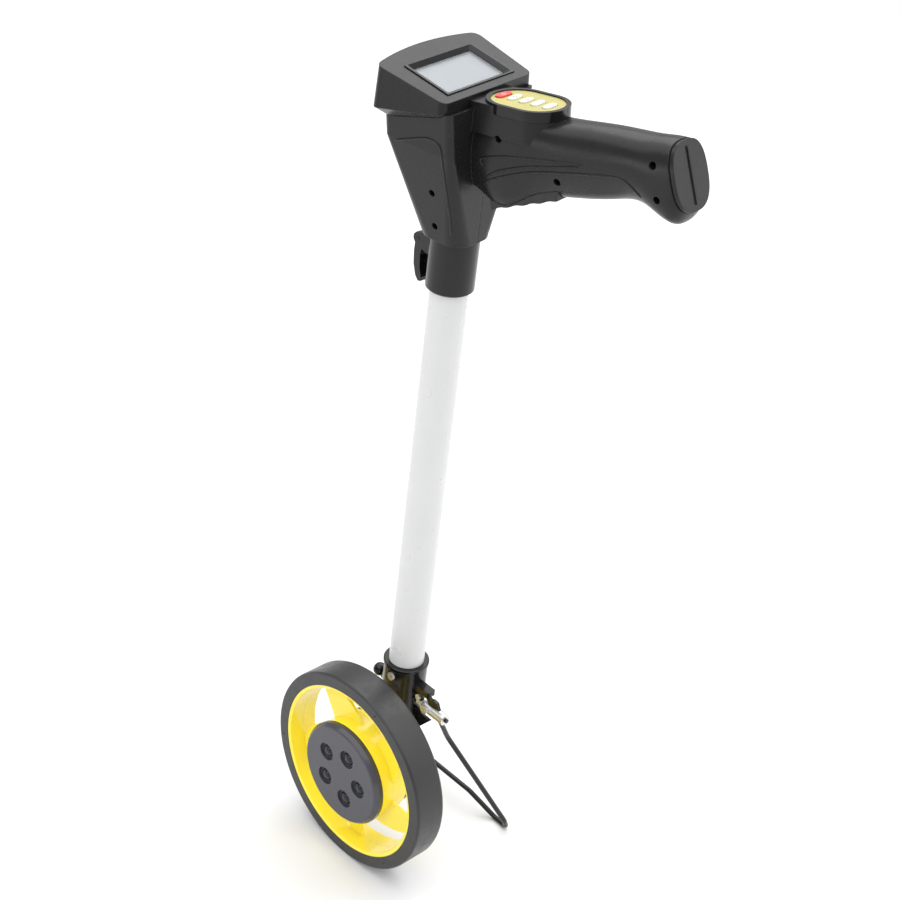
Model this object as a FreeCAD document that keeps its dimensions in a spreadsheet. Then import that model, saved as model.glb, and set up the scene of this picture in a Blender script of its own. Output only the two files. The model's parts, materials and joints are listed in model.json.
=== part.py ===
import FreeCAD, Part
import math
import os
import Sketcher
from FreeCAD import Placement, Rotation, Vector

# A digital measuring wheel: a wheel of half a metre round, a pole beside it, a folding wire
# stand, and a telescopic head with a display, a keypad and a handle.
# Millimetres.  +Z is up along the pole, the axle lies along Y, the handle points to +X, and
# the origin is where the middle of the tyre meets the ground.

doc = FreeCAD.newDocument("measuring_wheel")

DIMENSIONS = [
    ("wheel_radius", 79.577, "500 mm round the tread"),
    ("tyre_width", 25.0, "width of the tread"),
    ("tyre_seat_radius", 69.3, "outside of the rim, inside of the tyre"),
    ("rim_wall", 2.6, "barrel of the rim"),
    ("spoke_count", 5, "spokes, each widening towards the hub"),
    ("drum_radius", 40.4, "hub drum of the rim, as deep as the tyre is wide"),
    ("hub_cover_radius", 40.9, "widest part of the hub cover"),
    ("hub_face_radius", 37.8, "flat face of the hub cover"),
    ("hub_face_height", 19.0, "face of the hub cover from the middle of the tyre"),
    ("recess_circle_radius", 20.0, "circle of the five recesses"),
    ("recess_radius", 7.2, "one recess"),
    ("recess_depth", 2.4, "one recess"),
    ("bearing_radius", 11.0, "outside of a ball bearing"),
    ("bearing_width", 7.0, "one ball bearing"),
    ("axle_radius", 4.0, "axle bolt"),
    ("axle_clearance", 0.05, "bearing bore over the axle"),
    ("pole_offset", 37.8, "pole axis behind the middle of the tyre"),
    ("tube_radius", 13.1, "white outer tube"),
    ("tube_bore", 11.9, "inside of the outer tube"),
    ("tube_bottom", 121.0, "lower end of the outer tube"),
    ("tube_top", 500.0, "upper end of the outer tube"),
    ("inner_tube_radius", 11.0, "sliding tube"),
    ("inner_tube_bore", 9.8, "inside of the sliding tube"),
    ("inner_tube_bottom", 190.0, "lower end of the sliding tube, pole pushed in"),
    ("inner_tube_top", 552.0, "upper end of the sliding tube, pole pushed in"),
    ("running_gap", 0.05, "sliding fit of the telescopic pole"),
    ("socket_radius", 16.3, "fork socket round the tube"),
    ("socket_top", 165.0, "rim of the socket"),
    ("socket_bottom", 112.0, "lower end of the socket"),
    ("arm_front", 24.5, "front face of the fork arm"),
    ("arm_back", 35.5, "back face of the fork arm"),
    ("arm_radius", 15.0, "round end of the fork arm"),
    ("sensor_radius", 38.5, "sensor housing behind the wheel"),
    ("sensor_front", 14.6, "front of the sensor housing"),
    ("collar_radius", 16.3, "clamp collar"),
    ("collar_bottom", 473.5, "clamp collar"),
    ("collar_top", 511.0, "clamp collar"),
    ("lever_pin_reach", 22.5, "lever pin from the pole axis"),
    ("lever_pin_height", 501.5, "lever pin"),
    ("lever_width", 15.5, "lock lever"),
    ("pivot_height", 136.5, "pivot bolt of the stand"),
    ("pivot_radius", 2.0, "pivot bolt of the stand"),
    ("wire_radius", 2.0, "stand wire"),
    ("stand_length", 151.26, "pivot to the middle of the wire's feet"),
    ("stand_angle", 27.23, "stand's lean out from the pole, degrees"),
    ("head_turn", 7.74, "head's turn about the pole, degrees"),
    ("neck_bottom", 511.5, "lower end of the neck"),
    ("neck_bottom_half", 18.5, "half width of the neck's lower end"),
    ("neck_shoulder", 577.0, "height where the neck's front starts to slant"),
    ("neck_top", 612.0, "upper end of the neck, inside the display housing"),
    ("neck_front", 36.3, "front of the neck from the pole axis"),
    ("neck_back", 16.8, "back of the neck from the pole axis"),
    ("neck_shoulder_half", 36.6, "half width of the neck at the shoulder"),
    ("neck_top_half", 43.0, "half width of the neck at its upper end"),
    ("shell_wall", 2.2, "moulded walls"),
    ("display_tilt", 11.6, "display face leans towards the user, degrees"),
    ("display_near", 13.2, "near edge of the display housing from the pole axis"),
    ("display_near_height", 613.0, "face height at the near edge"),
    ("display_near_half", 43.6, "half width at the near edge"),
    ("display_far", 38.6, "far corners of the display housing from the pole axis"),
    ("display_far_half", 49.2, "half width at the far corners"),
    ("display_lean", 1.6, "how far the sides lean in towards the brim"),
    ("display_edge", 603.7, "lower edge of the housing, over the pole axis"),
    ("display_edge_slope", 10.5, "lower edge rises towards the user, degrees"),
    ("display_skirt", 6.5, "slanted skirt below the lower edge"),
    ("display_bow", 6.5, "bulge of the far edge"),
    ("window_half", 32.6, "half width of the window opening"),
    ("window_near", 6.4, "near edge of the window opening"),
    ("window_far", 28.5, "far edge of the window opening"),
    ("keypad_centre", 41.9, "middle of the keypad from the pole axis"),
    ("keypad_height", 614.6, "middle of the keypad plate"),
    ("keypad_tilt", 6.5, "keypad rises towards the handle, degrees"),
    ("keypad_half_length", 27.0, "outside of the keypad frame"),
    ("keypad_half_width", 19.8, "outside of the keypad frame"),
    ("plate_half_length", 24.0, "keypad plate"),
    ("plate_half_width", 17.3, "keypad plate"),
    ("key_pitch", 8.6, "from key to key"),
    ("key_half_length", 5.7, "oval key"),
    ("key_half_width", 2.2, "oval key"),
    ("key_gap", 0.35, "round each key"),
    ("cap_centre_x", 156.2, "middle of the handle's end face"),
    ("cap_centre_z", 607.8, "middle of the handle's end face"),
    ("cap_tilt", 22.9, "end face looks up from level, degrees"),
    ("cap_half_height", 21.3, "end face"),
    ("cap_half_width", 17.8, "end face"),
    ("cap_thickness", 3.0, "battery cap plate"),
    ("cell_radius", 5.25, "AAA cell"),
    ("cell_length", 44.5, "AAA cell"),
    ("screw_recess", 2.3, "recess over a case screw"),
]

sheet = doc.addObject("Spreadsheet::Sheet", "dims")
for row, (alias, value, note) in enumerate(DIMENSIONS, start=1):
    sheet.set(f"A{row}", note)
    sheet.set(f"B{row}", str(value))
    sheet.setAlias(f"B{row}", alias)
doc.recompute()


class Size:
    """A number together with the spreadsheet expression that it comes from."""

    def __init__(self, value, text):
        self.value = value
        self.text = text

    def _join(self, other, sign, value):
        return Size(value, f"({self.text} {sign} {as_size(other).text})")

    def __add__(self, other):
        return self._join(other, "+", self.value + as_size(other).value)

    def __sub__(self, other):
        return self._join(other, "-", self.value - as_size(other).value)

    def __mul__(self, other):
        return self._join(other, "*", self.value * as_size(other).value)

    def __neg__(self):
        return Size(-self.value, f"(0 - {self.text})")


def as_size(thing):
    return thing if isinstance(thing, Size) else Size(float(thing), repr(float(thing)))


def dim(alias):
    """A cell of the sheet as a Size."""
    return Size(float(sheet.get(alias)), f"dims.{alias}")


def mm(alias):
    """A cell of the sheet as a plain number."""
    return float(sheet.get(alias))


POLE = Vector(0, mm("pole_offset"), 0)
WHEEL_CENTRE = Vector(0, 0, mm("wheel_radius"))
HEAD = Placement(POLE, Rotation(Vector(0, 0, 1), mm("head_turn")))
ALONG_X = Rotation(Vector(0, 0, 1), Vector(1, 0, 0))
ALONG_Y = Rotation(Vector(0, 0, 1), Vector(0, 1, 0))
# turns a profile drawn as radius and height so that its height runs along +Y
AXLE_TURN = Rotation(Vector(1, 0, 0), -90)

parts = {}


# ---------------------------------------------------------------- building blocks


def bind(obj, prop, size):
    size = as_size(size)
    setattr(obj, prop, size.value)
    obj.setExpression(prop, size.text)


def cylinder(name, radius, height, placement):
    obj = doc.addObject("Part::Cylinder", name)
    bind(obj, "Radius", radius)
    bind(obj, "Height", height)
    obj.Placement = placement
    return obj


def block(name, length, width, height, placement):
    obj = doc.addObject("Part::Box", name)
    bind(obj, "Length", length)
    bind(obj, "Width", width)
    bind(obj, "Height", height)
    obj.Placement = placement
    return obj


def fused(name, shapes):
    obj = doc.addObject("Part::MultiFuse", name)
    obj.Shapes = shapes
    obj.Refine = True
    return obj


def cut(name, base, tool):
    obj = doc.addObject("Part::Cut", name)
    obj.Base = base
    obj.Tool = tool
    return obj


def common(name, shapes):
    obj = doc.addObject("Part::MultiCommon", name)
    obj.Shapes = shapes
    return obj


def group(name, shapes):
    obj = doc.addObject("Part::Compound", name)
    obj.Links = shapes
    return obj


def feature(name, shape, placement=None):
    obj = doc.addObject("Part::Feature", name)
    obj.Shape = shape
    if placement is not None:
        obj.Placement = placement
    return obj


def node(label, obj):
    """Gives a finished sub-part the name of its file."""
    obj.Label = label
    parts[label] = obj
    return obj


def pin_point(sketch, geometry, end, x, y):
    """Fixes one point of a sketch to two sizes."""
    for kind, size in (("DistanceX", as_size(x)), ("DistanceY", as_size(y))):
        index = sketch.addConstraint(Sketcher.Constraint(kind, -1, 1, geometry, end, size.value))
        sketch.setExpression(f"Constraints[{index}]", size.text)


def draw_polygon(sketch, points):
    """A closed outline of straight lines, each corner fixed to its sizes."""
    flat = [Vector(as_size(x).value, as_size(y).value, 0) for x, y in points]
    count = len(flat)
    for i in range(count):
        sketch.addGeometry(Part.LineSegment(flat[i], flat[(i + 1) % count]))
    for i in range(count):
        sketch.addConstraint(Sketcher.Constraint("Coincident", i, 2, (i + 1) % count, 1))
    for i, (x, y) in enumerate(points):
        pin_point(sketch, i, 1, x, y)


def draw_rounded(sketch, half_x, half_y, corner, centre_x=0.0, centre_y=0.0):
    """A rectangle with round corners, given by its half sizes."""
    hx, hy, r = as_size(half_x), as_size(half_y), as_size(corner)
    cx, cy = as_size(centre_x), as_size(centre_y)
    signs = [(1, 1), (-1, 1), (-1, -1), (1, -1)]
    for i, (sx, sy) in enumerate(signs):
        centre = Vector(cx.value + sx * (hx.value - r.value), cy.value + sy * (hy.value - r.value), 0)
        start = i * math.pi / 2
        circle = Part.Circle(centre, Vector(0, 0, 1), r.value)
        sketch.addGeometry(Part.ArcOfCircle(circle, start, start + math.pi / 2))
    ends = [(g.StartPoint, g.EndPoint) for g in sketch.Geometry]
    for i in range(4):
        sketch.addGeometry(Part.LineSegment(ends[i][1], ends[(i + 1) % 4][0]))
    for i in range(4):
        sketch.addConstraint(Sketcher.Constraint("Tangent", i, 2, 4 + i, 1))
        sketch.addConstraint(Sketcher.Constraint("Tangent", 4 + i, 2, (i + 1) % 4, 1))
        pin_point(sketch, i, 3, cx + (hx - r) * signs[i][0], cy + (hy - r) * signs[i][1])
    index = sketch.addConstraint(Sketcher.Constraint("Radius", 0, r.value))
    sketch.setExpression(f"Constraints[{index}]", r.text)


def draw_circle(sketch, radius, x=0.0, y=0.0):
    size = as_size(radius)
    centre = Vector(as_size(x).value, as_size(y).value, 0)
    index = sketch.addGeometry(Part.Circle(centre, Vector(0, 0, 1), size.value))
    pin_point(sketch, index, 3, x, y)
    number = sketch.addConstraint(Sketcher.Constraint("Radius", index, size.value))
    sketch.setExpression(f"Constraints[{number}]", size.text)


def body_plane(body, role):
    return next(f for f in body.Origin.OriginFeatures if f.Role == role)


def body_sketch(body, name, role="XY_Plane", lift=0.0):
    """A sketch on one of the body's own planes, lifted along the plane's normal."""
    sketch = body.newObject("Sketcher::SketchObject", name)
    sketch.AttachmentSupport = [(body_plane(body, role), "")]
    sketch.MapMode = "FlatFace"
    sketch.AttachmentOffset = Placement(Vector(0, 0, as_size(lift).value), Rotation())
    sketch.setExpression(".AttachmentOffset.Base.z", as_size(lift).text)
    return sketch


def new_body(label, placement):
    body = doc.addObject("PartDesign::Body", label)
    body.Placement = placement
    return body


def turned(body, points):
    """Revolves an outline of (radius, height) points about the body's Z axis."""
    sketch = body_sketch(body, body.Name + "_profile", "XZ_Plane")
    draw_polygon(sketch, points)
    revolution = body.newObject("PartDesign::Revolution", body.Name + "_turned")
    revolution.Profile = sketch
    revolution.ReferenceAxis = (sketch, ["V_Axis"])
    revolution.Angle = 360
    return revolution


def padded(body, sketch, length):
    pad = body.newObject("PartDesign::Pad", sketch.Name + "_pad")
    pad.Profile = sketch
    bind(pad, "Length", length)
    return pad


def pocketed(body, sketch, depth, upwards=False):
    """Cuts downwards from the sketch, or upwards."""
    pocket = body.newObject("PartDesign::Pocket", sketch.Name + "_pocket")
    pocket.Profile = sketch
    pocket.Reversed = upwards
    bind(pocket, "Length", depth)
    return pocket


def around(body, feature_to_repeat, count):
    """Repeats a feature round the body's Z axis."""
    pattern = body.newObject("PartDesign::PolarPattern", feature_to_repeat.Name + "_round")
    pattern.Originals = [feature_to_repeat]
    pattern.Axis = (feature_to_repeat.Profile[0], ["N_Axis"])
    pattern.Angle = 360
    pattern.Occurrences = int(as_size(count).value)
    body.Tip = pattern
    return pattern


def ring(label, inner, outer, low, high, placement):
    """A plain ring: a washer, a bush or a tube."""
    body = new_body(label, placement)
    turned(body, [(inner, low), (outer, low), (outer, high), (inner, high)])
    return node(label, body)


def loft(name, sections, ruled=False):
    obj = doc.addObject("Part::Loft", name)
    obj.Sections = sections
    obj.Solid = True
    obj.Ruled = ruled
    return obj


def rounded_section(name, placement, half_x, half_y, corner, centre_x=0.0):
    sketch = doc.addObject("Sketcher::SketchObject", name)
    sketch.Placement = placement
    draw_rounded(sketch, half_x, half_y, corner, centre_x)
    return sketch


def polygon_prism(name, points, width, centre_y=0.0):
    """Extrudes an outline of (x, z) points to both sides along Y."""
    sketch = doc.addObject("Sketcher::SketchObject", name + "_outline")
    sketch.Placement = Placement(Vector(0, centre_y, 0), Rotation(Vector(1, 0, 0), 90))
    draw_polygon(sketch, points)
    prism = doc.addObject("Part::Extrusion", name)
    prism.Base = sketch
    prism.Dir = Vector(0, 1, 0)
    prism.DirMode = "Custom"
    prism.Solid = True
    prism.Symmetric = True
    bind(prism, "LengthFwd", width)
    return prism


def bent_wire(points, bends, radius):
    """A round wire along straight runs; each corner has its own bend radius."""
    edges = []
    last = points[0]
    for before, corner, after, bend in zip(points, points[1:], points[2:], bends[1:]):
        back = (before - corner).normalize()
        on = (after - corner).normalize()
        turn = math.pi - back.getAngle(on)
        reach = bend * math.tan(turn / 2)
        middle = corner + (back + on).normalize() * (bend / math.cos(turn / 2) - bend)
        edges.append(Part.LineSegment(last, corner + back * reach).toShape())
        edges.append(Part.Arc(corner + back * reach, middle, corner + on * reach).toShape())
        last = corner + on * reach
    edges.append(Part.LineSegment(last, points[-1]).toShape())
    start = (points[1] - points[0]).normalize()
    profile = Part.Wire(Part.Circle(points[0], start, radius).toShape())
    return Part.Wire(edges).makePipeShell([profile], True, True)


# ---------------------------------------------------------------- the wheel

AT_AXLE = Placement(WHEEL_CENTRE, AXLE_TURN)
half_tyre = dim("tyre_width") * 0.5
FIRST_MARK = -48.5
FIRST_RECESS = 1.6


def on_wheel(reach, degrees):
    """A point of a wheel sketch; the angle turns up from +X as seen from the front."""
    angle = math.radians(degrees)
    return reach * math.cos(angle), -(reach * math.sin(angle))


def make_tyre():
    edge = 1.6
    body = new_body("tyre", AT_AXLE)
    seat, tread = dim("tyre_seat_radius"), dim("wheel_radius")
    turned(body, [
        (seat, -half_tyre), (tread - edge, -half_tyre), (tread - edge * 0.3, -half_tyre + edge * 0.3),
        (tread, -half_tyre + edge), (tread, half_tyre - edge), (tread - edge * 0.3, half_tyre - edge * 0.3),
        (tread - edge, half_tyre), (seat, half_tyre)])
    mark = body_sketch(body, "mould_mark", lift=-half_tyre)
    draw_circle(mark, 0.7, *on_wheel((tread + seat) * 0.5, FIRST_MARK))
    around(body, pocketed(body, mark, 0.8, upwards=True), 3)
    node("tyre", body)


SPOKE_EDGE = 63.0
SPOKE_SPREAD = [(40.5, 46.6), (47.0, 38.3), (54.0, 28.0), (60.0, 19.2), (66.66, 9.7)]


def arc_points(reach, start, end, steps):
    """Points between the two ends of an arc round the axle."""
    return [on_wheel(reach, start + (end - start) * i / steps) for i in range(1, steps)]


def spoke_gap():
    """Outline of one opening: a radial edge, the rim, the next spoke's slanted edge, the drum."""
    pitch = 360 / mm("spoke_count")
    inner, outer = SPOKE_SPREAD[0], SPOKE_SPREAD[-1]
    slanted = [on_wheel(reach, SPOKE_EDGE + pitch - spread) for reach, spread in SPOKE_SPREAD]
    drum_side = arc_points(inner[0], SPOKE_EDGE, SPOKE_EDGE + pitch - inner[1], 4)
    rim_side = arc_points(outer[0], SPOKE_EDGE + pitch - outer[1], SPOKE_EDGE, 10)
    return ([on_wheel(inner[0], SPOKE_EDGE)] + drum_side + slanted + rim_side
            + [on_wheel(outer[0], SPOKE_EDGE)])


def make_rim():
    """Barrel, five spokes, hub drum and bearing boss in one moulding."""
    body = new_body("wheel_rim", AT_AXLE)
    outer, wall = dim("tyre_seat_radius"), dim("rim_wall")
    drum, boss, bore = dim("drum_radius"), dim("bearing_radius") + 3.0, dim("bearing_radius")
    drum_wall = 2.6
    turned(body, [
        (bore, -9.0), (boss, -9.0), (boss, -5.5), (drum - drum_wall, -5.5), (drum - drum_wall, -12.0),
        (drum, -12.0), (drum, -2.5), (outer - wall, 0.5), (outer - wall, 1.0 - half_tyre.value),
        (outer - 1.0, 0.2 - half_tyre.value), (outer, 0.2 - half_tyre.value),
        (outer, half_tyre - 0.2), (outer - wall, half_tyre - 0.2), (outer - wall, 2.9),
        (drum, -0.1), (drum, 12.0), (drum - drum_wall, 12.0), (drum - drum_wall, -2.0),
        (boss, -2.0), (boss, 10.0), (bore, 10.0)])
    opening = body_sketch(body, "rim_opening", lift=15.0)
    draw_polygon(opening, spoke_gap())
    around(body, pocketed(body, opening, 30.0), dim("spoke_count"))
    node("wheel_rim", body)


def make_hub_cover():
    body = new_body("hub_cover", AT_AXLE)
    wide, face, height = dim("hub_cover_radius"), dim("hub_face_radius"), dim("hub_face_height")
    wall = 2.6
    inside = -height + 3.4
    turned(body, [
        (0, -height), (face, -height), (face + 1.2, -height + 0.6), (wide, -height + 3.6),
        (wide, -12.0), (wide - wall, -12.0), (wide - wall, inside), (0, inside)])
    recess = body_sketch(body, "recess", lift=-height)
    draw_circle(recess, dim("recess_radius"), *on_wheel(dim("recess_circle_radius"), FIRST_RECESS))
    around(body, pocketed(body, recess, dim("recess_depth"), upwards=True), 5)
    node("hub_cover", body)


def make_hub_plugs():
    """A domed plug at the bottom of each recess, over the screws that hold the cover."""
    radius, rise = 5.0, 2.3
    plugs = []
    ball = (radius * radius + rise * rise) / (2 * rise)
    for i in range(5):
        across, down = on_wheel(mm("recess_circle_radius"), FIRST_RECESS + 72 * i)
        floor = -mm("hub_face_height") + mm("recess_depth")
        centre = WHEEL_CENTRE + Vector(across, floor, -down)
        sphere = Part.makeSphere(ball, centre + Vector(0, ball - rise, 0))
        slab = Part.makeBox(2 * radius, rise, 2 * radius, centre - Vector(radius, rise, radius))
        plugs.append(sphere.common(slab))
    node("hub_plugs", feature("hub_plugs", Part.makeCompound(plugs)))


def make_bearings():
    bore = dim("axle_radius") + dim("axle_clearance")
    outer, width = dim("bearing_radius"), dim("bearing_width")
    ring("front_bearing", bore, outer, -9.0, as_size(-9.0) + width, AT_AXLE)
    ring("rear_bearing", bore, outer, as_size(10.0) - width, 10.0, AT_AXLE)


def make_magnets():
    """A plastic ring behind the drum that carries the magnets past the sensor."""
    carrier = new_body("magnet_ring", AT_AXLE)
    turned(carrier, [(19.0, -2.0), (30.0, -2.0), (30.0, 11.0), (19.0, 11.0)])
    seat = body_sketch(carrier, "magnet_seat", lift=11.0)
    draw_circle(seat, 3.0, 24.5)
    around(carrier, pocketed(carrier, seat, 3.0), 6)
    node("magnet_ring", carrier)
    magnets = []
    for i in range(6):
        angle = math.radians(60 * i)
        foot = WHEEL_CENTRE + Vector(24.5 * math.cos(angle), 8.0, 24.5 * math.sin(angle))
        magnets.append(cylinder(f"magnet_{i}", 3.0, 2.8, Placement(foot, ALONG_Y)))
    node("sensor_magnets", group("sensor_magnets", magnets))


# ---------------------------------------------------------------- axle, fork and sensor


def make_axle():
    radius = dim("axle_radius")
    start = WHEEL_CENTRE + Vector(0, -12.2, 0)
    shank = cylinder("axle_shank", radius, 57.0, Placement(start, ALONG_Y))
    head = cylinder("axle_head", 6.5, 2.6, Placement(start + Vector(0, -0.6, 0), ALONG_Y))
    node("axle_bolt", fused("axle_bolt", [shank, head]))
    # washers either side of the inner rings keep the wheel off the fork
    ring("axle_spacer", radius, 6.0, 10.3, dim("arm_front"), AT_AXLE)
    ring("axle_washer", radius, 8.0, dim("arm_back"), dim("arm_back") + 1.5, AT_AXLE)
    flats = new_body("axle_nut", AT_AXLE)
    sketch = body_sketch(flats, "nut_outline", lift=dim("arm_back") + 1.5)
    reach = 7.5
    draw_polygon(sketch, [
        (reach * math.cos(math.radians(60 * i)), reach * math.sin(math.radians(60 * i))) for i in range(6)])
    padded(flats, sketch, 6.5)
    hole = body_sketch(flats, "nut_hole", lift=dim("arm_back") + 1.5)
    draw_circle(hole, radius)
    pocketed(flats, hole, 6.5, upwards=True)
    node("axle_nut", flats)


def make_fork():
    """The socket for the pole and, below it, the arm that holds the axle behind the wheel."""
    low, high = dim("socket_bottom"), dim("socket_top")
    outer, tube = dim("socket_radius"), dim("tube_radius")
    socket = new_body("fork_socket_body", Placement(POLE, Rotation()))
    turned(socket, [
        (0, low), (outer - 1.5, low), (outer, low + 1.5), (outer, high - 4.0), (outer + 0.7, high - 3.0),
        (outer + 0.7, high - 0.6), (outer + 0.1, high), (tube, high), (tube, dim("tube_bottom")),
        (0, dim("tube_bottom"))])
    depth = dim("arm_back") - dim("arm_front")
    foot = WHEEL_CENTRE + Vector(0, mm("arm_front"), 0)
    eye = cylinder("fork_eye", dim("arm_radius"), depth, Placement(foot, ALONG_Y))
    half = mm("arm_radius")
    rise = mm("socket_bottom") + 6 - mm("wheel_radius")
    web = block("fork_web", 2 * half - 4, depth, rise, Placement(foot + Vector(2 - half, 0, 0), Rotation()))
    rib = block("fork_rib", 8.0, 9.0, rise, Placement(foot + Vector(-4, mm("arm_back") - mm("arm_front"), 0),
                                                       Rotation()))
    body = fused("fork_body", [socket, eye, web, rib])
    start = Vector(0, mm("arm_front") - 5, mm("wheel_radius"))
    axle_hole = cylinder("fork_axle_hole", dim("axle_radius"), 40.0, Placement(start, ALONG_Y))
    bolt_start = POLE + Vector(-25, 0, mm("pivot_height"))
    bolt_hole = cylinder("fork_bolt_hole", dim("pivot_radius"), 50.0, Placement(bolt_start, ALONG_X))
    nut_room = cylinder("fork_nut_room", 9.0, 30.0, Placement(
        WHEEL_CENTRE + Vector(0, mm("arm_back"), 0), ALONG_Y))
    screw_start = POLE + Vector(2.6, -24, 157)
    screw_hole = cylinder("fork_screw_hole", 1.6, 14.0, Placement(screw_start, ALONG_Y))
    screw_seat = cylinder("fork_screw_seat", 3.1, 8.0, Placement(screw_start, ALONG_Y))
    sensor_start = WHEEL_CENTRE + Vector(0, mm("sensor_front") - 2, 0)
    sensor_room = cylinder("fork_sensor_room", dim("sensor_radius") + 0.3,
                           dim("arm_front") - dim("sensor_front") + 2.0, Placement(sensor_start, ALONG_Y))
    holes = [axle_hole, bolt_hole, nut_room, screw_hole, screw_seat, sensor_room]
    node("fork", cut("fork", body, fused("fork_holes", holes)))


def make_socket_screw():
    seat = POLE + Vector(2.6, -mm("socket_radius") - 1.3, 157)
    head = cylinder("socket_screw_head", 3.1, 1.6, Placement(seat, ALONG_Y))
    shank = cylinder("socket_screw_shank", 1.6, 6.0, Placement(seat, ALONG_Y))
    slot = block("socket_screw_slot", 3.6, 1.0, 0.7, Placement(seat + Vector(-1.8, -0.2, -0.35), Rotation()))
    node("socket_screw", cut("socket_screw", fused("socket_screw_body", [head, shank]), slot))


def make_sensor():
    """A flat round housing fixed to the arm, with the board that counts the magnets."""
    radius, front, back = dim("sensor_radius"), dim("sensor_front"), dim("arm_front")
    housing = new_body("sensor_housing", AT_AXLE)
    turned(housing, [
        (9.0, front), (radius - 2.0, front), (radius, front + 2.0), (radius, back - 2.0),
        (radius - 2.4, back - 2.0), (radius - 2.4, front + 2.2), (11.0, front + 2.2), (11.0, back - 2.0),
        (9.0, back - 2.0)])
    node("sensor_housing", housing)
    ring("sensor_cover", 9.0, radius, back - 2.0, back, AT_AXLE)
    board = WHEEL_CENTRE + Vector(-9, 17.2, 14.5)
    plate = block("sensor_board_plate", 18.0, 1.6, 18.0, Placement(board, Rotation()))
    chip = WHEEL_CENTRE + Vector(-2, 18.8, 23)
    sensor = block("hall_sensor", 4.0, 1.6, 3.0, Placement(chip, Rotation()))
    node("sensor_board", fused("sensor_board", [plate, sensor]))
    screws = []
    for i in range(3):
        angle = math.radians(-90 + 120 * i)
        foot = WHEEL_CENTRE + Vector(31 * math.cos(angle), mm("arm_front"), 31 * math.sin(angle))
        screws.append(cylinder(f"sensor_screw_{i}", 2.4, 1.4, Placement(foot, ALONG_Y)))
    node("sensor_screws", group("sensor_screws", screws))


# ---------------------------------------------------------------- the stand


def make_stand_bracket():
    """A steel cheek and a block on the user's side of the socket, which hold the pivot bolt.

    The cheek stays in front of the pivot axis, clear of the wire's sweep behind it.
    """
    thickness, front = 2.4, -3.6
    middle = mm("pole_offset") + front + thickness / 2
    upper = polygon_prism("bracket_upper", [
        (13.0, 152.6), (30.4, 152.6), (31.4, 151.4), (30.6, 149.6), (32.6, 148.2), (35.6, 149.6),
        (39.2, 149.0), (42.2, 143.6), (31.3, 142.2), (27.9, 147.3), (24.2, 146.2), (24.0, 140.9),
        (17.2, 140.6), (17.0, 131.0), (13.0, 128.0)],
        thickness, middle)
    lower = polygon_prism("bracket_lower", [
        (13.0, 119.0), (24.5, 117.0), (34.2, 129.0), (24.8, 129.0), (23.0, 131.2), (17.0, 131.2),
        (13.0, 133.0)],
        thickness, middle)
    lug = block("bracket_lug", 16.6, 7.6, 5.0, Placement(POLE + Vector(13, -4.4, 147.4), Rotation()))
    eye = cylinder("bracket_eye", 5.2, 4.4, Placement(POLE + Vector(13, 0, mm("pivot_height")), ALONG_X))
    body = fused("bracket_body", [upper, lower, lug, eye])
    pin = POLE + Vector(20.6, front, 143.4)
    pin_hole = cylinder("bracket_pin_hole", 1.2, thickness, Placement(pin, ALONG_Y))
    below = Placement(POLE + Vector(0, 0, 108), Rotation())
    trim = cylinder("bracket_trim", dim("socket_radius"), 60.0, below)
    start = Vector(10, 0, mm("pivot_height"))
    bolt_hole = cylinder("bracket_bolt_hole", dim("pivot_radius"), 20.0, Placement(POLE + start, ALONG_X))
    room = cylinder("bracket_spring_room", 4.0, 20.0, Placement(POLE + start + Vector(7.4, 0, 0), ALONG_X))
    holes = fused("bracket_holes", [trim, bolt_hole, room, pin_hole])
    node("stand_bracket", cut("stand_bracket", body, holes))
    head = cylinder("stop_pin_head", 2.3, 1.8, Placement(pin - Vector(0, 1.8, 0), ALONG_Y))
    shank = cylinder("stop_pin_shank", 1.2, thickness, Placement(pin, ALONG_Y))
    node("stop_pin", fused("stop_pin", [head, shank]))


def make_pivot():
    start = Placement(POLE + Vector(-23, 0, mm("pivot_height")), ALONG_X)
    node("stand_pivot_bolt", cylinder("stand_pivot_bolt", dim("pivot_radius"), 58.0, start))
    coils = []
    for i in range(5):
        coil = doc.addObject("Part::Torus", f"spring_coil_{i}")
        bind(coil, "Radius1", 2.95)
        bind(coil, "Radius2", 0.5)
        coil.Placement = Placement(POLE + Vector(18.4 + 1.1 * i, 0, mm("pivot_height")), ALONG_X)
        coils.append(coil)
    node("stand_spring", group("stand_spring", coils))


def stand_point(x, reach):
    """A point in the stand's own plane: x along the pivot, reach down the stand."""
    lean = math.radians(mm("stand_angle"))
    return POLE + Vector(x, reach * math.sin(lean), mm("pivot_height") - reach * math.cos(lean))


STAND_MIDDLE = 5.0
# across and down the right leg, with the bend at each corner
LEG_TOP = (37.5, 0.0)
LEG_KNEE = (35.6, 37.0)
LEG_CORNERS = [(*LEG_TOP, 0.0), (*LEG_KNEE, 30.0), (64.8, 139.0, 12.0), (63.2, mm("stand_length"), 4.0),
               (50.5, mm("stand_length"), 6.0), (27.0, 134.2, 8.0)]


def make_stand():
    """One bent wire: two legs, two looped feet, and a raised bar between the feet."""
    mirrored = [(2 * STAND_MIDDLE - x, reach, bend) for x, reach, bend in reversed(LEG_CORNERS)]
    corners = LEG_CORNERS + mirrored
    points = [stand_point(x, reach) for x, reach, bend in corners]
    bends = [bend for x, reach, bend in corners]
    node("stand_wire", feature("stand_wire", bent_wire(points, bends, mm("wire_radius"))))


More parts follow.
